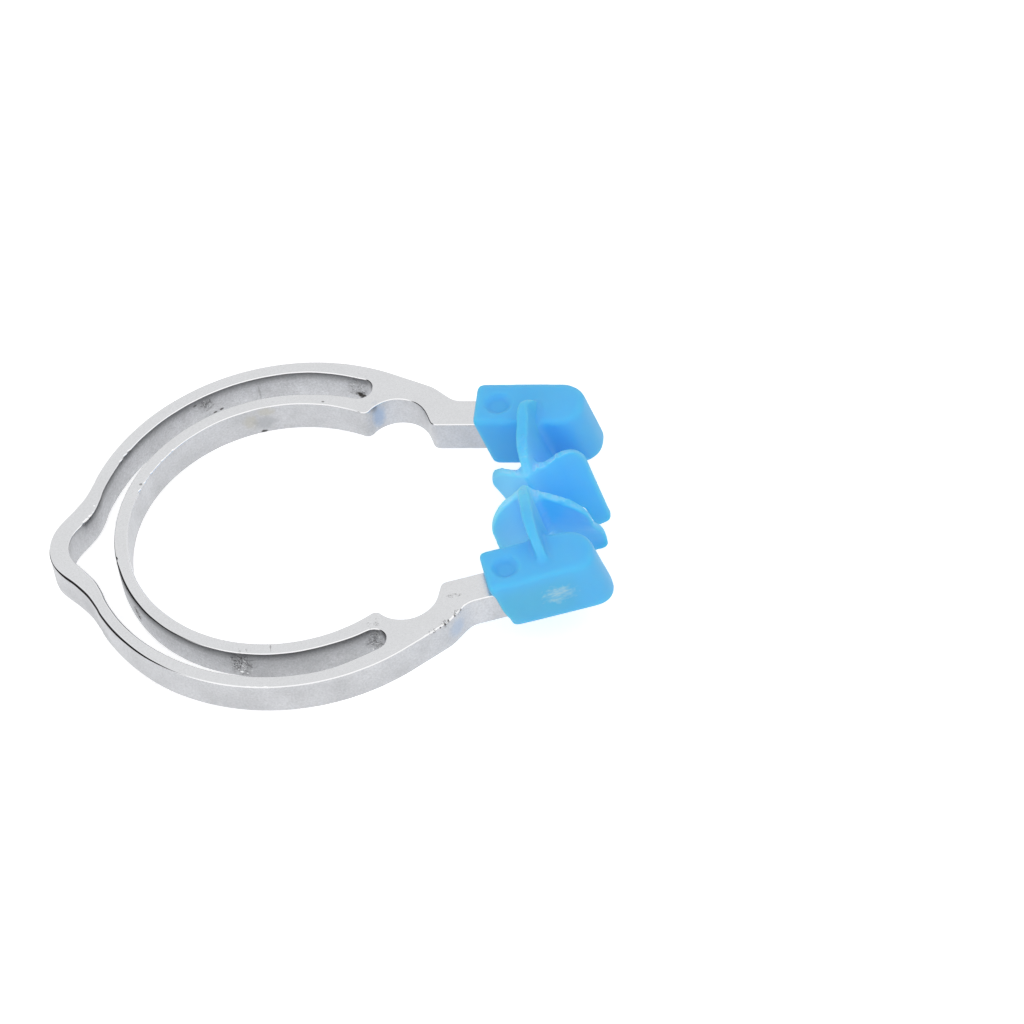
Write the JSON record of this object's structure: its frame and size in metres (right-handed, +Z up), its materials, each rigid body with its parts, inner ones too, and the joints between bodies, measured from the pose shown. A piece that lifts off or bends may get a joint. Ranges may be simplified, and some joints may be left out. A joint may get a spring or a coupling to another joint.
{
  "type": "sectional matrix ring",
  "caption": "Flat steel spring ring with a crescent slot, a rear nub, forceps notches and soft V-shaped tips that grip the gap between teeth.",
  "frame": {"origin": "on the surface that the ring rests on, straight below the middle of its overall box", "axes": "+X from the rear nub towards the two tips, +Y towards the left tip, +Z up; the plate leans 7.5 degrees about Y, with its tip end raised"},
  "size_m": [0.0394, 0.0298, 0.0102],
  "materials": {
    "spring_steel": "polished spring steel, satin on its cut walls",
    "tip_silicone": "sky-blue moulded silicone, matt"
  },
  "bodies": {
    "root": {"spring_ring": "spring_steel", "left_tip": "tip_silicone", "right_tip": "tip_silicone"}
  },
  "joints": []
}
